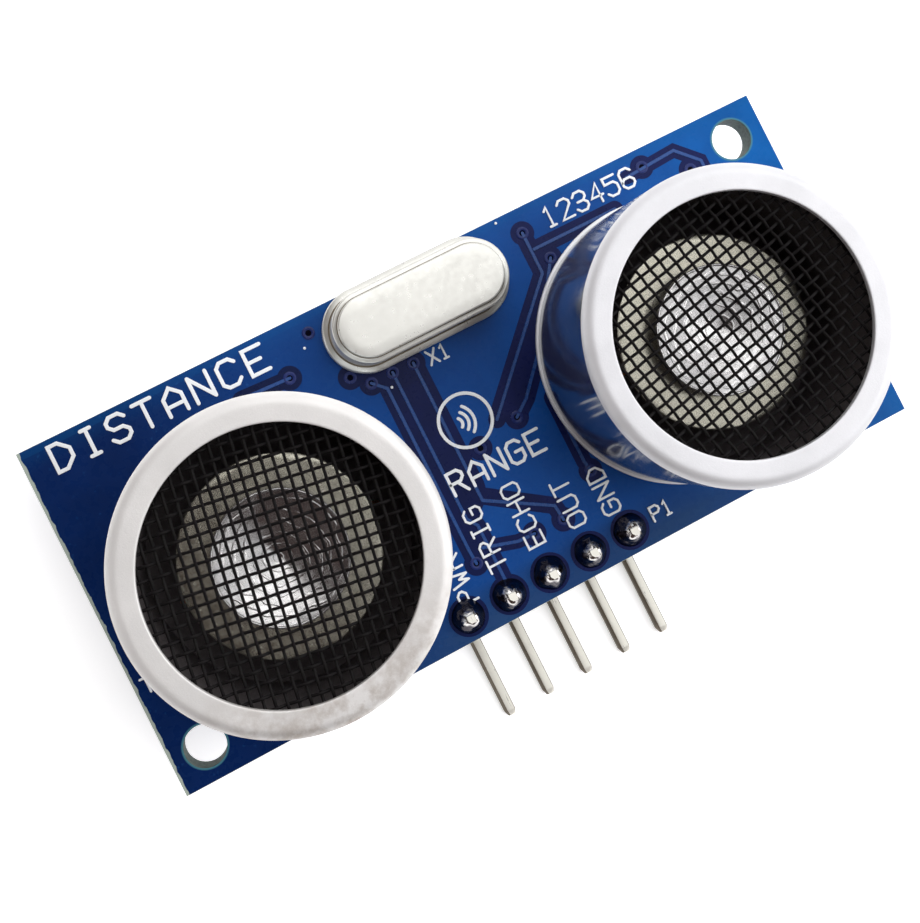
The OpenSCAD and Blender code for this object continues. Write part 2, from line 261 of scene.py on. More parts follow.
def mask_look():
    """Blue solder mask over copper: darker by the transmitter, painted shade, and lighter towards the
    receiver, painted light; mottled, with a slight peel.

    It is greyer along the pins, a painted reflection, and lighter along the top edge, where the copper
    ends. It is torn off along the left edge, where the panel was scored, and draws back from the
    mounting holes."""
    look = Look("solder_mask", IOR=1.5, Specular_IOR_Level=0.06)
    across, along = look.axis("Y"), look.axis("X")
    # Darker towards the transmitter and lighter towards the receiver: painted shade and painted light.
    # The middle blue is also raised, painted light against the shade between the cans.
    shaded_end = (0.0028, 0.017, 0.090)
    middle = (0.0090, 0.076, 0.315)
    lit_end = (0.0040, 0.118, 0.410)
    colour = look.blend(look.ranged(along, -17 * MM, 0.0), shaded_end, middle)
    colour = look.blend(look.ranged(along, 12 * MM, 23 * MM), colour, lit_end)

    # Greyer along the lower edge by the pins: a painted reflection.
    lower_edge = look.ranged(across, -7.4 * MM, -9.4 * MM)
    near_pins = look.math("MULTIPLY", look.ranged(along, -14 * MM, -6 * MM),
                          look.ranged(along, 8 * MM, 19 * MM, 0.75, 0.3))
    greyed_reflection = look.math("MULTIPLY", lower_edge, near_pins)
    colour = look.blend(greyed_reflection, colour, (0.022, 0.055, 0.125))
    no_copper = look.math("ADD", look.ranged(across, 9.66 * MM, 9.70 * MM, 0.0, 0.14),
                          look.ranged(across, 8.8 * MM, 10.1 * MM, 0.0, 0.2))
    colour = look.blend(no_copper, colour, (0.0045, 0.105, 0.330))

    mottles = look.ranged(look.noise(2.6, detail=4.0), 0.35, 0.75, 0.0, 0.35)
    colour = look.blend(mottles, colour, (0.004, 0.028, 0.150))
    specks = look.ranged(look.noise(0.3, detail=2.0), 0.66, 0.78, 0.0, 0.3)
    colour = look.blend(specks, colour, (0.015, 0.090, 0.300))

    torn = look.math("MULTIPLY", look.noise(0.5, detail=3.0), 0.25 * MM)
    edge = BOARD_LOW.x * MM
    bare = look.ranged(look.math("ADD", along, torn), edge + 0.30 * MM, edge + 0.27 * MM)
    colour = look.blend(bare, colour, (0.42, 0.48, 0.42))
    from_hole = look.math("MINIMUM", look.radius_from(HOLES[0]), look.radius_from(HOLES[1]))
    drawn_back = look.ranged(from_hole, HOLE_RADIUS + 0.14, HOLE_RADIUS + 0.07, 0.0, 0.9)
    look.colour(look.blend(drawn_back, colour, (0.07, 0.22, 0.27)))

    peel = look.noise(0.5, detail=2.0)
    look.roughness(look.ranged(peel, 0.3, 0.7, 0.22, 0.36))
    look.bump(peel, 0.003)
    return look.material


def gap_look():
    """Mask where the copper is cut away: navy by the transmitter and violet further on, darker at the
    transmitter's end as painted shade, like the mask.
    """
    look = Look("mask_over_gap", Specular_IOR_Level=0.1)
    navy = (0.0026, 0.0085, 0.050)
    violet = (0.0054, 0.0105, 0.080)
    # Navy to violet along X: painted shade, darker at the transmitter's end.
    tint = look.blend(look.ranged(look.axis("X"), -9 * MM, 1 * MM), navy, violet)
    blotches = look.ranged(look.noise(1.6), 0.3, 0.7, 0.0, 0.45)
    look.colour(look.blend(blotches, tint, shade(navy, 0.7)))
    fine = look.noise(0.3, detail=2.0)
    look.roughness(look.ranged(fine, 0.3, 0.7, 0.26, 0.34))
    look.bump(fine, 0.002)
    return look.material


def laminate_look():
    """The cut edge of the board: pale green glass cloth in layers."""
    look = Look("laminate", Roughness=0.75)
    layers = look.noise(0.16, detail=3.0, place=look.stretched((0.25, 0.25, 1.6)))
    fibres = look.noise(0.1, detail=3.0)
    base = look.blend(layers, (0.30, 0.36, 0.27), (0.62, 0.66, 0.55))
    look.colour(look.blend(look.ranged(fibres, 0.55, 0.8), base, (0.80, 0.82, 0.76)))
    look.bump(fibres, 0.02)
    return look.material


def can_side_look():
    """Drawn aluminium, nearly a mirror, with fine lines along the draw and a few smears."""
    look = Look("can_side", Metallic=0.95)
    lines = look.noise(0.25, detail=2.0, place=look.stretched((1, 1, 0.03)))
    smears = look.noise(2.6, detail=3.0)
    look.colour(look.blend(smears, (0.45, 0.475, 0.49), (0.57, 0.59, 0.60)))
    look.roughness(look.ranged(smears, 0.3, 0.7, 0.09, 0.17))
    look.bump(lines, 0.0003)
    return look.material


def can_front_look(name, tint, stain=0.0):
    """Blasted aluminium: matt, pale and finely pitted, with a warm stain low down if asked."""
    look = Look(name, Metallic=0.4, Specular_IOR_Level=0.4)
    pits = look.noise(0.09, detail=4.0, roughness=0.7)
    smears = look.noise(2.4, detail=4.0)
    clean = look.blend(look.ranged(smears, 0.3, 0.7), shade(tint, 0.95), shade(tint, 1.06))
    low_side = look.ranged(look.axis("Y"), -4 * MM, -8.5 * MM, 0.0, stain)
    patches = look.ranged(look.noise(1.1, detail=5.0, roughness=0.65), 0.4, 0.62)
    stained = look.math("MULTIPLY", low_side, patches)
    look.colour(look.blend(stained, clean, (0.38, 0.33, 0.29)))
    look.roughness(look.ranged(pits, 0.3, 0.7, 0.42, 0.6))
    look.bump(pits, 0.008)
    return look.material


def horn_look(centre):
    """Spun aluminium: thin wavy rings left by the spinning, crossed by soft dents."""
    look = Look("horn_aluminium", Metallic=0.94)
    ring_spacing, most_wobble = 0.55, 1.1
    wobble = look.noise(1.5, detail=2.0)
    shift = look.math("MULTIPLY", wobble, most_wobble)
    radius = look.math("ADD", look.radius_from(centre), shift)
    waves = look.math("SINE", look.math("MULTIPLY", radius, TAU / ring_spacing))
    rings = look.ranged(waves, 0.55, 1.0)
    dents = look.noise(0.9, detail=1.0)
    look.colour(look.blend(wobble, (0.60, 0.595, 0.595), (0.80, 0.785, 0.77)))
    look.roughness(look.ranged(dents, 0.3, 0.7, 0.14, 0.26))
    look.bump(look.math("ADD", look.math("MULTIPLY", rings, 0.5), dents), 0.022)
    return look.material


def joint_look():
    """Solder on the front lands: bright lumps near the pin and, low down, a dark glossy colour that is a
    painted reflection of the dark board.
    """
    look = Look("front_solder_painted_reflection", Metallic=1.0)
    rise = look.ranged(look.axis("Z"), (FRONT + 0.35) * MM, (FRONT + 1.2) * MM)
    lumps = look.noise(0.5, detail=2.0)
    bright = look.ranged(look.math("ADD", rise, lumps), 1.05, 1.3)
    # The near-black low colour is a painted reflection on the flanks; the pale colour is the solder's
    # own.
    look.colour(look.blend(bright, (0.053, 0.048, 0.058), (0.72, 0.70, 0.68)))
    look.roughness(look.ranged(lumps, 0.3, 0.7, 0.12, 0.24))
    look.bump(lumps, 0.07)
    return look.material


LOOKS = {
    "mask": mask_look(),
    "laminate": laminate_look(),
    # Mounting-hole walls: laminate darkened as painted shade inside the holes.
    "hole": plain_look("hole_wall_painted_shade", (0.095, 0.130, 0.112), 0.7, spread=0.75, blotch=0.22, depth=0.03),
    "gap": gap_look(),
    "track": plain_look("mask_over_track", (0.010, 0.055, 0.220), 0.28, blotch=1.2, grain=0.3,
        depth=0.002, Specular_IOR_Level=0.3),
    "ring": plain_look("mask_over_ring", (0.011, 0.022, 0.120), 0.28, blotch=0.6, grain=0.3,
        depth=0.002, Specular_IOR_Level=0.2),
    # Near-black disc in each via: painted shade for the hole.
    "via_hole_painted_shade": plain_look("via_hole_painted_shade", (0.002, 0.002, 0.008), 0.8, grain=0.1, Specular_IOR_Level=0.04),
    "ink": plain_look("legend_ink", (0.90, 0.92, 0.95), 0.55, spread=0.08, blotch=0.35, grain=0.1,
        depth=0.006),
    "can_side": can_side_look(),
    "can_front": can_front_look("can_front", (0.68, 0.68, 0.70)),
    # A brighter copy of the can's blasted finish for the foot: painted light on the lip.
    "can_foot_painted_light": can_front_look("can_foot_painted_light", (0.92, 0.92, 0.94)),
    "can_front_stained": can_front_look("can_front_stained", (0.69, 0.675, 0.66), stain=0.85),
    "screen": plain_look("screen_wire", (0.0062, 0.0052, 0.0054), 0.6, spread=0.3, grain=0.08,
        Specular_IOR_Level=0.1),
    # Lighter than black plastic: painted light on the base, which is seen in shade through the screen.
    "base": plain_look("base_plastic_painted_light", (0.125, 0.110, 0.112), 0.7, grain=0.15, depth=0.01,
        Specular_IOR_Level=0.2),
    "seat": plain_look("seat_rubber", (0.62, 0.58, 0.48), 0.6, grain=0.2, depth=0.01),
    "ceramic": plain_look("piezo_ceramic", (0.52, 0.48, 0.36), 0.5, grain=0.1, depth=0.005),
    "plate": plain_look("plate_metal", (0.56, 0.54, 0.45), 0.24, metallic=1.0, spread=0.1, grain=0.4),
    "tin": plain_look("tinned_metal", (0.74, 0.74, 0.75), 0.28, metallic=1.0, grain=0.1),
    "land": plain_look("tinned_land", (0.70, 0.70, 0.72), 0.3, metallic=1.0, spread=0.2, blotch=0.5,
        grain=0.15, depth=0.01),
    "wire": plain_look("wire_copper", (0.72, 0.30, 0.14), 0.3, metallic=1.0, grain=0.1),
    "solder": plain_look("solder", (0.66, 0.66, 0.68), 0.16, metallic=1.0, spread=0.22, blotch=0.4,
        grain=0.16, depth=0.012),
    "joint": joint_look(),
    # Pale pin faces and dark pin sides are lit and shaded copies of one tin: painted light on the faces,
    # painted shade on the sides.
    "pin_face": plain_look("pin_tin", (0.95, 0.93, 0.84), 0.32, metallic=0.4, spread=0.05, blotch=0.5,
        grain=0.14, stretch=(1, 0.12, 1), depth=0.0015),
    "pin_side": plain_look("pin_side_painted_shade", (0.17, 0.145, 0.11), 0.5, metallic=0.7, spread=0.3,
        blotch=0.5, grain=0.2, depth=0.002),
    "header": plain_look("header_plastic", (0.012, 0.012, 0.013), 0.42, grain=0.1, depth=0.006),
    "crystal": plain_look("crystal_nickel", (0.63, 0.625, 0.585), 0.32, metallic=0.7, spread=0.07,
        blotch=1.8, grain=0.3, depth=0.0003),
    # Dark brown bands in the crystal can's creases: painted shade.
    "crease_shade": plain_look("crystal_crease_shade", (0.16, 0.125, 0.085), 0.5, metallic=0.5, spread=0.5, blotch=0.7,
        depth=0.01),
    "glass": plain_look("seal_glass", (0.05, 0.16, 0.13), 0.15, grain=0.4, IOR=1.5),
    "quartz": plain_look("quartz", (0.80, 0.86, 0.90), 0.12, grain=0.5, IOR=1.54),
    "clip": plain_look("clip_spring", (0.62, 0.53, 0.30), 0.3, metallic=1.0, grain=0.1),
    "chip": plain_look("chip_plastic", (0.020, 0.020, 0.022), 0.55, spread=0.2, grain=0.09, depth=0.012),
    "chip_mark": plain_look("chip_mark", (0.30, 0.31, 0.32), 0.6, grain=0.1),
    "resistor": plain_look("resistor_black", (0.012, 0.012, 0.014), 0.22, grain=0.2),
    "capacitor": plain_look("capacitor_tan", (0.42, 0.25, 0.12), 0.45, depth=0.008),
}


# ---- Meshes ----

# The heights in mm that keep crossing flat patches apart
LIFT_STEP = 0.0003
LIFT_STEPS = 60
# A ribbon's round ends, and how far its sharp corners may stick out
CAP_STEPS = 4
CAP_REACH = math.radians(82)
LEAST_COSINE = 0.6


class Shape:
    """Vertices in mm and faces, collected from lofts and then made into one piece."""

    def __init__(self):
        self.vertices = []
        self.faces = []
        self.picks = []
        self.layers = 0

    def next_lift(self):
        """A tiny height of its own for each flat patch, so that no two that cross are level."""
        self.layers += 1
        return LIFT_STEP * (self.layers % LIFT_STEPS)

    def loft(self, rings, picks=0, closed=False, ends=True):
        """Joins rings of equally many points; picks is a material number, or one per ring."""
        if isinstance(picks, int):
            picks = [picks] * len(rings)
        start = len(self.vertices)
        count = len(rings[0])
        for ring in rings:
            self.vertices.extend(ring)
        bands = len(rings) if closed else len(rings) - 1
        for band in range(bands):
            low = start + band * count
            high = start + (band + 1) % len(rings) * count
            for i in range(count):
                j = (i + 1) % count
                self.faces.append((low + i, low + j, high + j, high + i))
                self.picks.append(picks[band])
        if ends and not closed:
            last = start + (len(rings) - 1) * count
            self.faces.append(tuple(range(start, start + count))[::-1])
            self.faces.append(tuple(range(last, last + count)))
            self.picks += [picks[0], picks[-1]]

    def mesh(self, name, looks):
        """looks holds keys of LOOKS, or materials."""
        mesh = bpy.data.meshes.new(name)
        mesh.from_pydata([Vector(v) * MM for v in self.vertices], [], self.faces)
        for look in looks:
            mesh.materials.append(LOOKS[look] if isinstance(look, str) else look)
        mesh.polygons.foreach_set("material_index", self.picks)
        return mesh

    def piece(self, name, looks, slot, replaced=(), sharp=35):
        return settle(self.mesh(name, looks), name, replaced, sharp)


def settle(mesh, name, replaced, sharp):
    """Turns the faces outwards, smooths them up to the sharp angle, and adds the piece."""
    work = bmesh.new()
    work.from_mesh(mesh)
    bmesh.ops.recalc_face_normals(work, faces=work.faces)
    work.to_mesh(mesh)
    work.free()
    mesh.polygons.foreach_set("use_smooth", [True] * len(mesh.polygons))
    mesh.set_sharp_from_angle(angle=math.radians(sharp))
    piece = add_object(name, mesh)
    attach(piece, "root")
    if replaced:
        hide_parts(*replaced)
    return piece


def pointing(degrees):
    """A step 1 long in the given direction."""
    return Vector((math.cos(math.radians(degrees)), math.sin(math.radians(degrees))))


def arc(centre, radius, start, end, steps):
    """Points along an arc, from start to end in degrees."""
    points = []
    for i in range(steps + 1):
        angle = math.radians(start + (end - start) * i / steps)
        points.append((centre[0] + radius * math.cos(angle), centre[1] + radius * math.sin(angle)))
    return points


def turned(shape, centre, profile, picks=0, closed=False, straight=0.0, steps=96, base=0.0):
    """Lofts a profile of (radius, height) points round an upright axis.

    A straight length makes each ring a slot's outline, whose straight sides lie along X."""
    rings = []
    for radius, height in profile:
        ring = []
        for i in range(steps):
            angle = TAU * (i + 0.5) / steps
            shift = math.copysign(straight / 2, math.cos(angle))
            ring.append((centre.x + shift + radius * math.cos(angle),
                         centre.y + radius * math.sin(angle), base + height))
        rings.append(ring)
    shape.loft(rings, picks, closed)


def ribbon(shape, points, width, base, rise, side=1, pick=0, loop=False):
    """A flat raised line with round ends: ink, a track or a channel.

    side is 1 on the front and -1 on the rear."""
    rise += shape.next_lift()
    bevel = min(0.02, rise / 2)
    sink = 0.01
    half = width / 2
    profile = [(-half, -sink), (-half, rise - bevel), (bevel - half, rise), (half - bevel, rise),
               (half, rise - bevel), (half, -sink)]
    path = [Vector(p).to_2d() for p in points]
    count = len(path)
    rings = []

    def ring(at, across, squeeze=1.0):
        rings.append([(at.x + across.x * offset * squeeze, at.y + across.y * offset * squeeze,
                       base + side * height) for offset, height in profile])

    def left_of(direction):
        return Vector((-direction.y, direction.x))

    def cap(at, direction, angles):
        for angle in angles:
            ring(at + direction * half * math.sin(angle), left_of(direction), math.cos(angle))

    bend = [CAP_REACH * (i + 1) / CAP_STEPS for i in range(CAP_STEPS)]
    headings = [(path[(i + 1) % count] - path[i]).normalized() for i in range(count)]
    if not loop:
        headings[-1] = headings[-2]
        cap(path[0], headings[0], [-angle for angle in reversed(bend)])
    for i in range(count):
        before = left_of(headings[i - 1] if loop or i > 0 else headings[0])
        middle = (before + left_of(headings[i])).normalized()
        ring(path[i], middle / max(LEAST_COSINE, middle.dot(before)))
    if not loop:
        cap(path[-1], headings[-1], bend)
    shape.loft(rings, pick, closed=loop)


def spot(shape, x, y, radius, base, rise, side=1, pick=0, steps=40):
    """A flat round patch with a bevelled edge."""
    rise += shape.next_lift()
    bevel = min(0.03, rise / 2)
    profile = [(radius, -0.01 * side), (radius, (rise - bevel) * side),
               (radius - bevel, rise * side)]
    turned(shape, Vector((x, y)), profile, pick, steps=steps, base=base)


# ---- CAD shapes with broken edges ----

def soften(node, width, looks, choose=None, sharp=32, segments=2):
    """A copy of a CAD node with its sharp edges rounded to width mm, which replaces the node.

    choose(face) gives a face's material number from its normal and its centre in metres."""
    work = bmesh.new()
    work.from_mesh(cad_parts[node].data)
    bmesh.ops.remove_doubles(work, verts=work.verts, dist=SAME_PLACE)
    bmesh.ops.dissolve_limit(work, angle_limit=math.radians(0.5), verts=work.verts,
                             edges=work.edges)
    edges = [e for e in work.edges
             if e.is_manifold and e.calc_face_angle(0) > math.radians(sharp)]
    bmesh.ops.bevel(work, geom=edges, offset=width * MM, segments=segments, affect="EDGES",
                    profile=0.6, clamp_overlap=True)
    bmesh.ops.triangulate(work, faces=[f for f in work.faces if len(f.verts) > 4])
    work.normal_update()
    for face in work.faces:
        face.material_index = choose(face) if choose else 0
    name = node + "_finished"
    mesh = bpy.data.meshes.new(name)
    work.to_mesh(mesh)
    work.free()
    for look in looks:
        mesh.materials.append(LOOKS[look])
    piece = settle(mesh, name, [node], sharp)
    piece.modifiers.new("even_normals", "WEIGHTED_NORMAL").keep_sharp = True
    return piece


# ---- Board ----

def make_board():
    """Mask on both faces, bare laminate on the cut edges, and mounting holes walled in darker laminate,
    which is painted shade.
    """
    def bare(face):
        if abs(face.normal.z) > 0.9:
            return 0
        place = face.calc_center_median() / MM
        at_edge = min(BOARD_HIGH.x - abs(place.x), BOARD_HIGH.y - abs(place.y)) < 0.1
        # Upright faces away from the board's edge are the hole walls, which take the painted shade.
        return 1 if at_edge else 2

    board = soften("circuit_board", 0.06, ["mask", "laminate", "hole"], bare,
                   segments=1)
    for face in board.data.polygons:
        face.use_smooth = abs(face.normal.z) < 0.999


# ---- Lettering: plain strokes on a grid 4 wide and 6 high ----

INK_RISE = 0.055
GLYPHS = {
    "A": "00 04 26 44 40|02 42", "C": "41 30 10 01 05 16 36 45",
    "D": "00 06 26 44 42 20 00", "E": "40 00 06 46|03 33",
    "G": "45 36 16 05 01 10 30 41 43 23", "H": "00 06|40 46|03 43",
    "I": "20 26|10 30|16 36", "N": "00 06|06 40|40 46", "O": "10 30 41 45 36 16 05 01 10",
    "P": "00 06 36 45 44 33 03", "R": "00 06 36 45 44 33 03|23 40",
    "S": "01 10 30 41 42 33 13 04 05 16 36 45", "T": "20 26|06 46",
    "U": "06 01 10 30 41 46", "W": "06 10|10 23|23 30|30 46", "X": "00 46|06 40",
    "1": "15 26 20|10 30", "2": "05 16 36 45 44 00 40",
    "3": "05 16 36 45 44 33 13|33 42 41 30 10 01", "4": "30 36 02 42",
    "5": "46 06 04 34 43 41 30 10 01", "6": "45 36 16 05 01 10 30 41 42 33 13 02",
}


def letter(shape, text, place, width, height, pitch, stroke, turn=0.0, side=1, base=FRONT,
           rise=INK_RISE):
    """Writes text from place, its lower left corner, along the direction turn in degrees."""
    step = pointing(turn)
    along = Vector((step.x * side, step.y))
    upward = Vector((-step.y * side, step.x))
    for index, character in enumerate(text):
        if character == " ":
            continue
        corner = Vector(place) + along * pitch * index
        for line in GLYPHS[character].split("|"):
            points = []
            for pair in line.split():
                column, row = int(pair[0]) / 4, int(pair[1]) / 6
                points.append(corner + along * column * width + upward * row * height)
            loop = (points[0] - points[-1]).length < 1e-6
            ribbon(shape, points[:-1] if loop else points, stroke, base, rise, side, loop=loop)


def make_front_legend():
    """Generic names, numbers and the pins' functions, a badge of three arcs, and ink specks."""
    ink = Shape()
    letter(ink, "DISTANCE", (-21.0, 8.22), 1.04, 1.46, 1.62, 0.21)
    letter(ink, "RANGE", (-2.75, -2.6), 0.83, 1.26, 1.21, 0.18)
    letter(ink, "123456", (8.65, 8.3), 0.72, 1.12, 1.0, 0.14)
    letter(ink, "X1", (-0.7, 4.4), 0.52, 0.8, 0.68, 0.13)
    letter(ink, "P1", (6.55, -9.0), 0.52, 0.82, 0.68, 0.13)
    letter(ink, "T", (-22.1, -4.3), 0.55, 0.8, 0.6, 0.12)
    labels = [("PWR", -4.15, -8.1), ("TRIG", -1.9, -7.3), ("ECHO", 0.55, -7.1),
              ("OUT", 3.15, -7.2), ("GND", 5.2, -7.5)]
    for word, x, y in labels:
        letter(ink, word, (x, y), 0.72, 1.0, 1.0, 0.13, turn=90)
    badge = (-0.4, 0.85)
    circle = arc(badge, 1.5, 0, 360, 48)[:-1]
    ribbon(ink, circle, 0.19, FRONT, INK_RISE, loop=True)
    source = (badge[0] - 0.55, badge[1])
    for radius in (0.35, 0.7, 1.05):
        ribbon(ink, arc(source, radius, -48, 48, 10), 0.18, FRONT, INK_RISE)
    for x, y in [(6.1, 9.85), (-6.5, 8.35), (-3.2, 4.3)]:
        spot(ink, x, y, 0.08, FRONT, INK_RISE, steps=12)
    ink.piece("front_legend", ["ink"], "solder_mask")


# ---- Tracks and vias under the mask ----

COPPER_LOOKS = ["gap", "track", "ring", "via_hole_painted_shade"]
GAP, TRACK, RING, HOLE_SHADE = range(len(COPPER_LOOKS))
GAP_RISE = 0.004
TRACK_RISE = 0.035
TRACK_WIDTH = 0.19
VIA_GAP_RADIUS = 0.68
PIN_GAP_RADIUS = 1.12

FRONT_VIAS = [(7.2, 8.7), (8.0, 6.75), (-5.0, 5.8), (-4.1, 5.0), (-2.8, 5.0), (-1.55, 4.95),
              (2.25, -0.3), (4.6, -4.8), (2.0, -6.5), (-3.4, -6.4), (0.2, -6.45), (-5.95, 9.0),
              (-7.95, 7.25), (-0.35, -0.9), (15.1, 9.05), (17.6, 7.7)]
# The one via with no gap round it
POURED_VIA = (-5.95, 9.0)
# Tracks whose channel follows them from end to end
DOWN_FROM_NUMBER = [(7.2, 8.7), (7.2, 6.2), (1.2, 0.1)]
PAST_THE_BADGE = [(2.25, -0.3), (3.2, 0.4), (5.0, 2.4), (8.0, 6.75)]
UNDER_NUMBER = [(7.4, 7.6), (12.6, 7.6)]
ROUND_RECEIVER = [(14.0, 8.9), (17.2, 9.1), (18.4, 7.9), (18.4, 6.5)]
ACROSS_LABELS = [(-2.7, -5.8), (-0.8, -6.4), (0.2, -6.45)]
UNDER_TRANSMITTER = [(-7.95, 7.25), (-10.8, 7.4)]
FRONT_TRACKS = [
    [(-4.1, 5.0), (-3.45, 4.35), (-3.45, -5.6), (-3.4, -6.4)],
    [(-2.8, 5.0), (-2.8, -4.0), (-2.4, -4.6), (-2.4, -8.0)],
    [(-1.55, 4.95), (-1.55, -3.5), (1.9, -5.6), (2.0, -6.5)],
    DOWN_FROM_NUMBER, PAST_THE_BADGE, UNDER_NUMBER,
    [(4.5, -0.2), (4.5, -4.2), (4.6, -4.8)],
    ROUND_RECEIVER, ACROSS_LABELS, UNDER_TRANSMITTER,
]
# Width and path of each place where the copper is cut away
FRONT_CHANNELS = [
    (2.9, [(-2.45, 4.6), (-2.45, -2.6)]), (1.9, [(-2.95, -2.0), (-2.95, -6.0)]),
    (0.95, [(-1.55, -3.2), (1.9, -5.6), (2.0, -6.5)]), (0.9, [(-2.4, -4.6), (-2.4, -8.0)]),
    (1.0, DOWN_FROM_NUMBER), (1.0, PAST_THE_BADGE),
    (1.3, [(2.3, 0.5), (6.6, 5.2)]), (0.95, UNDER_NUMBER), (0.9, [(4.5, -0.2), (4.5, -4.2)]),
    (0.8, ROUND_RECEIVER), (0.8, ACROSS_LABELS), (0.9, UNDER_TRANSMITTER),
]


def make_copper(name, channels, gaps, tracks, vias, base=FRONT, side=1):
    """Dark channels and round gaps cut in the copper pour, the tracks in them, and the vias."""
    copper = Shape()
    for width, path in channels:
        ribbon(copper, path, width, base, GAP_RISE, side, GAP)
    for place, radius in gaps:
        spot(copper, *place, radius, base, GAP_RISE, side, GAP)
    for path in tracks:
        ribbon(copper, path, TRACK_WIDTH, base, TRACK_RISE, side, TRACK)
    for place in vias:
        via(copper, *place, base, side)
    copper.piece(name, COPPER_LOOKS, "solder_mask")


def make_front_copper():
    gaps = [(place, VIA_GAP_RADIUS) for place in FRONT_VIAS if place != POURED_VIA]
    gaps += [(leg_place(pin), PIN_GAP_RADIUS) for pin in PINS]
    make_copper("front_copper", FRONT_CHANNELS, gaps, FRONT_TRACKS, FRONT_VIAS)


def via(shape, x, y, base=FRONT, side=1):
    """A mask-covered ring round a small near-black disc, painted shade that stands in for the via's
    hole.
    """
    ring = [(0.36, -0.01), (0.36, 0.035), (0.32, 0.048), (0.24, 0.048), (0.17, 0.03),
            (0.17, -0.01)]
    turned(shape, Vector((x, y)), [(r, side * z) for r, z in ring], RING, closed=True,
           steps=28, base=base)
    spot(shape, x, y, 0.165, base, 0.02, side, pick=HOLE_SHADE, steps=20)


def leg_place(pin):
    """Where a pin's leg stands on the board: its middle, and its far side less half its width."""
    low, high = corners(pin)
    return (low.x + high.x) / 2, high.y - (high.x - low.x) / 2


# ---- Header ----

# How deep a solder joint starts in the land below it
JOINT_SINK = 0.02


def pin_section(half):
    """Corners of a stamped wire, each cut off, with a wide slope where the punch went in."""
    slope_across, slope_down, cut = 0.2, 0.24, 0.04
    outline = [Vector(corner) for corner in (
        (half, half), (slope_across - half, half), (-half, half - slope_down), (-half, -half),
        (half, -half))]
    points = []
    for index, corner in enumerate(outline):
        for other in (outline[index - 1], outline[(index + 1) % len(outline)]):
            points.append(corner + (other - corner).normalized() * cut)
    return points


def make_pin(name):
    """A stub above the board, a leg, a bend and a level run, ending in small tapers."""
    low, high = corners(name)
    half = (high.x - low.x) / 2
    middle, leg_y = leg_place(name)
    run_z = low.z + half
    bend = 0.62
    turn_at = (leg_y - bend, run_z + bend)
    taper, tip_scale = 0.3, 0.68
    # The Y, the Z, the turn in degrees and the scale of each station along the wire
    stations = [(leg_y, high.z, 0, tip_scale), (leg_y, high.z - taper, 0, 1.0),
                (leg_y, high.z - taper - 0.05, 0, 1.0), (leg_y, turn_at[1] + 0.05, 0, 1.0)]
    for angle in range(0, 91, 10):
        y = turn_at[0] + bend * math.cos(math.radians(angle))
        z = turn_at[1] - bend * math.sin(math.radians(angle))
        stations.append((y, z, angle, 1.0))
    stations += [(turn_at[0] - 0.05, run_z, 90, 1.0), (low.y + taper + 0.04, run_z, 90, 1.0),
                 (low.y + taper, run_z, 90, 0.985), (low.y + 0.03, run_z, 90, tip_scale),
                 (low.y, run_z, 90, tip_scale * 0.85)]
    rings = []
    for y, z, angle, scale in stations:
        out_y, out_z = -math.cos(math.radians(angle)), math.sin(math.radians(angle))
        rings.append([(middle + x * scale, y + n * scale * out_y, z + n * scale * out_z)
                      for x, n in pin_section(half)])
    shape = Shape()
    shape.loft(rings)
    piece = shape.piece(name + "_finished", ["pin_face", "pin_side"], "pin_tin", [name], sharp=40)
    # Faces turned along X take the dark copy: painted shade on the pins' flanks.
    for face in piece.data.polygons:
        face.material_index = 1 if abs(face.normal.x) > 0.5 else 0
    piece.modifiers.new("even_normals", "WEIGHTED_NORMAL").keep_sharp = True


def fillet(shape, centre, foot, top, height, base, side=1, seed=0, hollow=2.0, uneven=0.10):
    """A cone of solder, hollow or nearly straight in its flank, from a land up to a pin."""
    levels, steps = 9, 48
    rings = []
    for level in range(levels + 1):
        rise = level / levels
        radius = top + (foot - top) * (1 - rise) ** hollow
        ring = []
        for i in range(steps):
            angle = TAU * i / steps
            sample = Vector((math.cos(angle) * 1.3, math.sin(angle) * 1.3, rise * 1.5 + seed * 7.3))
            wander = 1 + uneven * noise.noise(sample) * (0.4 + rise)
            ring.append((centre.x + radius * wander * math.cos(angle),
                         centre.y + radius * wander * math.sin(angle),
                         base + side * rise * height))
        rings.append(ring)
    shape.loft(rings)


def make_header_solder():
    """Five tall, lumpy fillets round the pins' ends on the front."""
    joints = Shape()
    base = corners("header_solder")[0].z
    for index, pin in enumerate(PINS):
        height = random.uniform(1.02, 1.16)
        fillet(joints, Vector(leg_place(pin)), 0.93, 0.27, height, base - JOINT_SINK,
               seed=index, hollow=0.8, uneven=0.2)
    joints.piece("header_solder_finished", ["joint"], "solder", ["header_solder"], sharp=75)


# ---- Transducers ----

def centre_of(node):
    low, high = corners(node)
    return (low + high) / 2


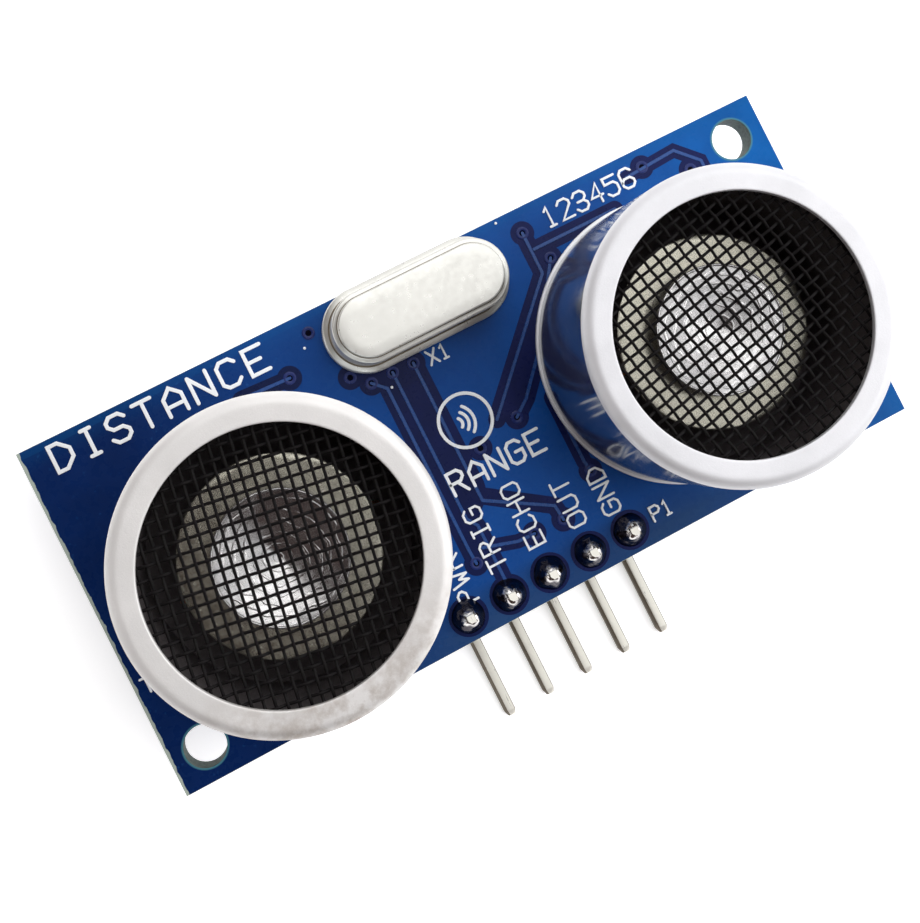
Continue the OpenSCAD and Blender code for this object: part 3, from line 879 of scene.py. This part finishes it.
def make_can(unit):
    """The drawn can: a small turned-out foot, a straight wall, a round shoulder, a flat ring."""
    node = unit + "_can"
    low, high = corners(node)
    centre = centre_of(node)
    height = high.z - low.z
    lip_width, thickness, shoulder, rounding = 0.12, 0.4, 0.6, 0.06
    mouth = 13.1 / 2
    lip = (high.x - low.x) / 2
    root = lip - lip_width
    outer = root - 0.03
    bore = root - thickness
    under = height - thickness
    foot = [(bore, 0.0), (lip - 0.04, 0.0), (lip, 0.04), (lip, 0.27), (lip - 0.02, 0.3),
            (root - 0.02, 0.3)]
    wall = [(outer, 0.31), (outer, 0.36), (outer, height / 2),
            (outer, height - shoulder - 0.2)]
    top = arc((outer - shoulder, height - shoulder), shoulder, 0, 90, 10)
    ring = [(outer - shoulder - 0.1, height), (mouth + 2 * rounding, height)]
    edge = arc((mouth + rounding, height - rounding), rounding, 100, 180, 4)
    inside = [(mouth, under + 0.06), (mouth + 0.05, under), (bore - 0.3, under),
              (bore, under - 0.3)]
    profile = foot + wall + top + ring + edge + inside

    # The blasted part starts at the shoulder, and on the transmitter at the band below it
    start = len(foot + wall) - (1 if unit == "transmitter" else 0)
    blasted = range(start, len(foot + wall + top + ring + edge))
    # The foot takes the brighter copy of the front's finish, which is painted light.
    picks = [2 if i < len(foot) else 1 if i in blasted else 0 for i in range(len(profile))]
    looks = ["can_side", "can_front_stained" if unit == "transmitter" else "can_front",
             "can_foot_painted_light"]
    shape = Shape()
    turned(shape, centre, profile, picks, closed=True, steps=160, base=low.z)
    shape.piece(node + "_finished", looks, "can_aluminium", [node], sharp=50)


# Directions of the two sets of wires in degrees, and the spacing of each set in mm
WEAVES = {"transmitter": ((-9.1, 0.615), (80.7, 0.526)),
          "receiver": ((11.8, 0.544), (102.9, 0.596))}
WIRE_HALF_WIDTH = 0.077
WIRE_SIDES = 6
# A wire that stays nearer the rim than this, in mm, is left out
RIM_MARGIN = 0.15


def make_screen(unit):
    """Wires woven over and under each other, cut off under the can's front ring."""
    node = unit + "_screen"
    low, high = corners(node)
    centre = centre_of(node)
    reach = (high.x - low.x) / 2 - 0.06
    half_thick = (high.z - low.z) / 4
    (turn_a, space_a), (turn_b, space_b) = WEAVES[unit]
    sine = abs(math.sin(math.radians(turn_b - turn_a)))
    step_a = pointing(turn_a) * (space_b / sine)
    step_b = pointing(turn_b) * (space_a / sine)
    shape = Shape()
    for along, across, sign in ((step_a, step_b, 1), (step_b, step_a, -1)):
        count = int(reach / across.length) + 2
        for index in range(-count, count + 1):
            woven_wire(shape, centre, along, across * index, index, sign, reach, half_thick)
    shape.piece(node + "_finished", ["screen"], "screen_black", [node], sharp=60)


def woven_wire(shape, centre, along, offset, index, sign, reach, half_thick):
    """One wire, which crosses the others at each whole number of steps along it."""
    direction = along.normalized()
    across = Vector((-direction.y, direction.x))
    miss = offset.dot(across)
    if abs(miss) > reach - RIM_MARGIN:
        return
    half_length = math.sqrt(reach * reach - miss * miss)
    middle = -offset.dot(direction)
    first = math.ceil((middle - half_length) / along.length * 4)
    last = math.floor((middle + half_length) / along.length * 4)
    rings = []
    sway = random.uniform(-0.02, 0.02)
    for quarter in range(first, last + 1):
        step = quarter / 4
        at = offset + along * step + across * sway
        lift = sign * half_thick * math.cos(math.pi * (step + index))
        ring = []
        for i in range(WIRE_SIDES):
            angle = TAU * i / WIRE_SIDES
            flat = at + across * WIRE_HALF_WIDTH * math.cos(angle)
            ring.append((centre.x + flat.x, centre.y + flat.y,
                         centre.z + lift + half_thick * 0.95 * math.sin(angle)))
        rings.append(ring)
    if len(rings) > 2:
        shape.loft(rings)


# Depth of each horn's dish in mm, and the power of its curve
DISHES = {"transmitter": (0.62, 1.15), "receiver": (0.36, 1.5)}


def make_horn(unit):
    """A thin spun dish with rings in its face and a rolled rim."""
    node = unit + "_horn"
    bowl, curve = DISHES[unit]
    low, high = corners(node)
    centre = centre_of(node)
    rim = (high.x - low.x) / 2
    height = high.z - low.z
    foot = 0.9
    wall = 0.15
    bands = 24
    outside = [(foot * 0.5, 0.0), (foot, 0.0), (foot + 0.1, 0.04), (rim - 0.03, height - wall)]
    roll = arc((rim - wall / 2, height - wall / 2), wall / 2, -10, 180, 6)
    middle = foot * 0.1
    inside = []
    for band in range(bands + 1):
        part = 1 - band / bands
        inside.append((middle + (rim - wall - middle) * part,
                       height - 0.4 * wall - bowl * (1 - part) ** curve))
    shape = Shape()
    turned(shape, centre, outside + roll + inside, steps=128, base=low.z)
    shape.piece(node + "_finished", [horn_look(centre)], "horn_aluminium", [node], sharp=50)


def make_transducers():
    """Two of a kind but for the weave, the horn's dish and the stain."""
    for unit in TRANSDUCERS:
        make_can(unit)
        make_screen(unit)
        make_horn(unit)
        soften(unit + "_base", 0.08, ["base"])
        soften(unit + "_seat", 0.1, ["seat"])
        soften(unit + "_piezo", 0.04, ["ceramic"])
        soften(unit + "_plate", 0.08, ["plate"])
        soften(unit + "_terminals", 0.06, ["tin"])
        soften(unit + "_wires", 0.02, ["wire"], sharp=60)
        make_rear_joints(unit + "_solder", 0.85, 0.4, 0.95)


def make_rear_joints(node, foot, top, height):
    """Solder fillets on the rear lands, one for each cone in a CAD node."""
    joints = Shape()
    for index, (low, high) in enumerate(islands(node)):
        fillet(joints, (low + high) / 2, foot, top, height, high.z + JOINT_SINK, side=-1,
               seed=index + 9)
    joints.piece(node + "_finished", ["solder"], "solder", [node], sharp=60)


# ---- Crystal ----

def make_crystal():
    """The drawn can: flange, concave foot, wall, rounded step and a slightly crowned top."""
    low, high = corners("crystal_can")
    centre = centre_of("crystal_can")
    length, width = high.x - low.x, high.y - low.y
    height = high.z - low.z
    flange, step, inset = 0.3, 0.3, 0.42
    step_round, crown_round = 0.12, 0.1
    half = width / 2
    body = half - inset
    wall_top = height - step
    outline = [(half - 0.05, 0.0), (half, 0.05), (half, flange - 0.1), (half - 0.1, flange)]
    foot = [(body + 0.1, flange), (body + 0.02, flange + 0.04), (body, flange + 0.14)]
    shoulder = arc((body - step_round, wall_top - step_round), step_round, 0, 85, 6)
    cove = [(body - step + 0.045, wall_top + 0.005), (body - step, wall_top + 0.04)]
    crown = arc((body - step - crown_round, height - crown_round), crown_round, 0, 90, 5)
    plateau = [(body - step - 0.7, height)]
    profile = outline + foot + shoulder + cove + crown + plateau
    # The band where the body rises from the flange and the cove at the step take the dark brown look:
    # painted shade in the creases.
    shaded_creases = (len(outline), len(outline + foot + shoulder))
    picks = [1 if i in shaded_creases else 0 for i in range(len(profile))]
    shape = Shape()
    turned(shape, centre, profile, picks, straight=length - width, base=low.z)
    shape.piece("crystal_can_finished", ["crystal", "crease_shade"], "crystal_nickel", ["crystal_can"],
                sharp=50)
    soften("crystal_base", 0.06, ["crystal"])
    soften("crystal_leads", 0.05, ["tin"])
    make_rear_joints("crystal_solder", 0.72, 0.22, 0.8)
    carry_over("crystal_seals", "glass")
    carry_over("crystal_blank", "quartz")
    carry_over("crystal_clips", "clip")


def carry_over(node, look):
    """Gives a CAD node that stays as it is its material."""
    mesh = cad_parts[node].data
    mesh.materials.clear()
    mesh.materials.append(LOOKS[look])


# ---- Rear side ----

REAR_TRACKS = [
    [(-6.6, -2.0), (-9.5, -2.0)], [(-6.6, 3.0), (-9.5, 3.0)],
    [(3.4, -4.6), (4.2, -6.6), (2.54, -8.0)], [(-3.4, -4.6), (-2.2, -6.4), (-2.54, -8.0)],
    [(0.0, -5.0), (0.0, -8.0)], [(3.6, 4.4), (2.44, 6.6)], [(-3.6, 4.4), (-2.44, 6.6)],
    [(6.0, 0.8), (9.2, 0.8)], [(6.0, 3.4), (9.0, 4.4)],
]
for right in ([(16.0, 3.6), (19.0, 3.6)], [(16.0, -2.0), (19.2, -3.2)],
              [(10.2, 7.4), (14.0, 7.4), (16.4, 5.6)]):
    REAR_TRACKS += [right, [(-x, y) for x, y in right]]
REAR_VIAS = [(6.3, -6.9), (-6.3, -6.9), (0.0, 5.4), (8.2, 4.6), (-8.2, 4.6), (17.9, 8.0),
             (-17.9, -8.3), (17.2, -7.0), (-17.2, 6.9), (12.4, 8.6), (-12.4, 8.6)]
REAR_CHANNEL_WIDTH = 0.85
LAND_WIDTH = 0.62
LAND_RISE = 0.03


def make_rear_copper():
    channels = [(REAR_CHANNEL_WIDTH, path) for path in REAR_TRACKS]
    gaps = [(place, VIA_GAP_RADIUS) for place in REAR_VIAS]
    make_copper("rear_copper", channels, gaps, REAR_TRACKS, REAR_VIAS, REAR, side=-1)


def make_rear_lands():
    """Tinned lands under every chip lead and under both ends of every small part."""
    lands = Shape()
    for chip in CHIPS:
        middle = centre_of(chip + "_body")
        for low, high in islands(chip + "_leads"):
            outward = 1 if (low + high).x / 2 > middle.x else -1
            tip = high.x if outward > 0 else low.x
            y = (low.y + high.y) / 2
            ends = [(tip - outward * 0.55, y), (tip + outward * 0.1, y)]
            ribbon(lands, ends, LAND_WIDTH, REAR, LAND_RISE, side=-1)
    for node in ("resistor_terminals", "capacitor_terminals"):
        for low, high in islands(node):
            y = (low.y + high.y) / 2
            ends = [(low.x + 0.3, y), (high.x - 0.3, y)]
            ribbon(lands, ends, LAND_WIDTH, REAR, LAND_RISE, side=-1)
    lands.piece("rear_lands", ["land"], "tinned_copper")


def make_rear_legend():
    """Outlines and plain position names, which read properly from behind."""
    ink = Shape()
    letter(ink, "RANGE 12345", (4.7, 8.85), 0.6, 0.82, 0.86, 0.13, side=-1, base=REAR)
    for number, chip in enumerate(CHIPS, 1):
        low, high = corners(chip + "_body")
        letter(ink, f"U{number}", (high.x - 1.2, high.y + 0.35), 0.6, 0.85, 0.8, 0.13,
               side=-1, base=REAR)
    for number, (low, high) in enumerate(islands("transistor_bodies"), 1):
        letter(ink, f"T{number}", (high.x + 1.9, high.y - 0.6), 0.55, 0.8, 0.75, 0.12,
               side=-1, base=REAR)
    for node in ("resistor_bodies", "capacitor_bodies"):
        for low, high in islands(node):
            for x in (low.x - 0.32, high.x + 0.32):
                ribbon(ink, [(x, low.y - 0.3), (x, high.y + 0.3)], 0.12, REAR, INK_RISE, side=-1)
    ink.piece("rear_legend", ["ink"], "solder_mask")


def make_chip_marks():
    """A faint row of generic figures on each package."""
    marks = Shape()
    for chip in CHIPS:
        low, high = corners(chip + "_body")
        letter(marks, "12345", (high.x - 1.1, low.y + 1.6), 0.62, 0.85, 1.0, 0.1, turn=90,
               side=-1, base=low.z, rise=0.012)
    marks.piece("chip_marks", ["chip_mark"], "chip_plastic")


def make_rear():
    make_rear_copper()
    make_rear_lands()
    make_rear_legend()
    make_chip_marks()
    for chip in CHIPS:
        soften(chip + "_body", 0.06, ["chip"], sharp=15)
        soften(chip + "_leads", 0.05, ["tin"], segments=3)
    soften("transistor_bodies", 0.1, ["chip"])
    soften("transistor_leads", 0.05, ["tin"], segments=3)
    soften("resistor_bodies", 0.03, ["resistor"])
    soften("resistor_terminals", 0.06, ["tin"])
    soften("capacitor_bodies", 0.05, ["capacitor"])
    soften("capacitor_terminals", 0.08, ["tin"])


# ---- Studio ----

LIGHTS_AIM = Vector((0, 0, 4))


def area_light(name, place, size, radiance):
    """A square light in mm whose surface looks radiance times as bright as a white floor."""
    data = bpy.data.lights.new(name, "AREA")
    data.size = size * MM
    data.energy = radiance * math.pi * (size * MM) ** 2
    light = add_object(name, data)
    light.location = Vector(place) * MM
    direction = LIGHTS_AIM - Vector(place)
    light.rotation_euler = direction.to_track_quat("-Z", "Y").to_euler()


def make_world():
    """A room whose receiver side is a wide pale window and whose other side is dim and warm.

    The camera itself sees plain white."""
    window_side = Vector((0.96, 0.27, 0.034)).normalized()
    window_edge, window_full = -0.01, 0.12
    dim, pale, white = (0.075, 0.050, 0.046), (1.36, 1.36, 1.38), (1, 1, 1)
    world = bpy.data.worlds.new("studio")
    tree = Tree(world)
    facing = tree.add("ShaderNodeVectorMath", operation="DOT_PRODUCT")
    tree.feed(facing.inputs[0], tree.add("ShaderNodeTexCoord").outputs["Generated"])
    facing.inputs[1].default_value = window_side
    window = tree.ranged(facing.outputs["Value"], window_edge, window_full, kind="SMOOTHSTEP")
    seen = tree.add("ShaderNodeLightPath").outputs["Is Camera Ray"]
    shown = tree.blend(seen, tree.blend(window, dim, pale), white)
    tree.feed(tree.nodes["Background"].inputs["Color"], shown)
    bpy.context.scene.world = world


def make_floor():
    """A wide pale sheet that turns up softly far away, at the height of the lowest pin."""
    level = cad_box[0][2] / MM - 0.01
    inner, outer, bend_from, flatness = 20, 1500, 900, 4000
    rings, steps = 24, 64
    loops = []
    for index in range(rings + 1):
        radius = inner + (outer - inner) * (index / rings) ** 2
        rise = max(0.0, radius - bend_from) ** 2 / flatness
        loops.append([(radius * math.cos(TAU * i / steps), radius * math.sin(TAU * i / steps),
                       level + rise) for i in range(steps)])
    shape = Shape()
    shape.loft(loops[::-1], ends=False)
    shape.faces.append(tuple(range(len(shape.vertices) - steps, len(shape.vertices))))
    paper = plain_look("floor_paper", (0.93, 0.93, 0.935), 0.9, spread=0.01, blotch=60,
                       grain=0.6, depth=0.01, Emission_Color=(1, 1, 1, 1),
                       Emission_Strength=0.5)
    mesh = shape.mesh("floor", [paper])
    mesh.polygons.foreach_set("use_smooth", [True] * len(mesh.polygons))
    floor = add_object("floor", mesh)


def make_studio():
    make_world()
    make_floor()
    area_light("key", (240, -60, 190), 220, 2.4)
    area_light("top", (60, 130, 320), 240, 1.2)
    area_light("fill", (-250, 30, 130), 180, 1.2)
    bpy.context.scene.view_settings.view_transform = "Standard"


# ---- Everything ----

make_board()
make_front_copper()
make_front_legend()
soften("plated_holes", 0.02, ["land"])
for pin_name in PINS:
    make_pin(pin_name)
make_header_solder()
soften("header_body", 0.08, ["header"])
make_transducers()
make_crystal()
make_rear()
make_studio()
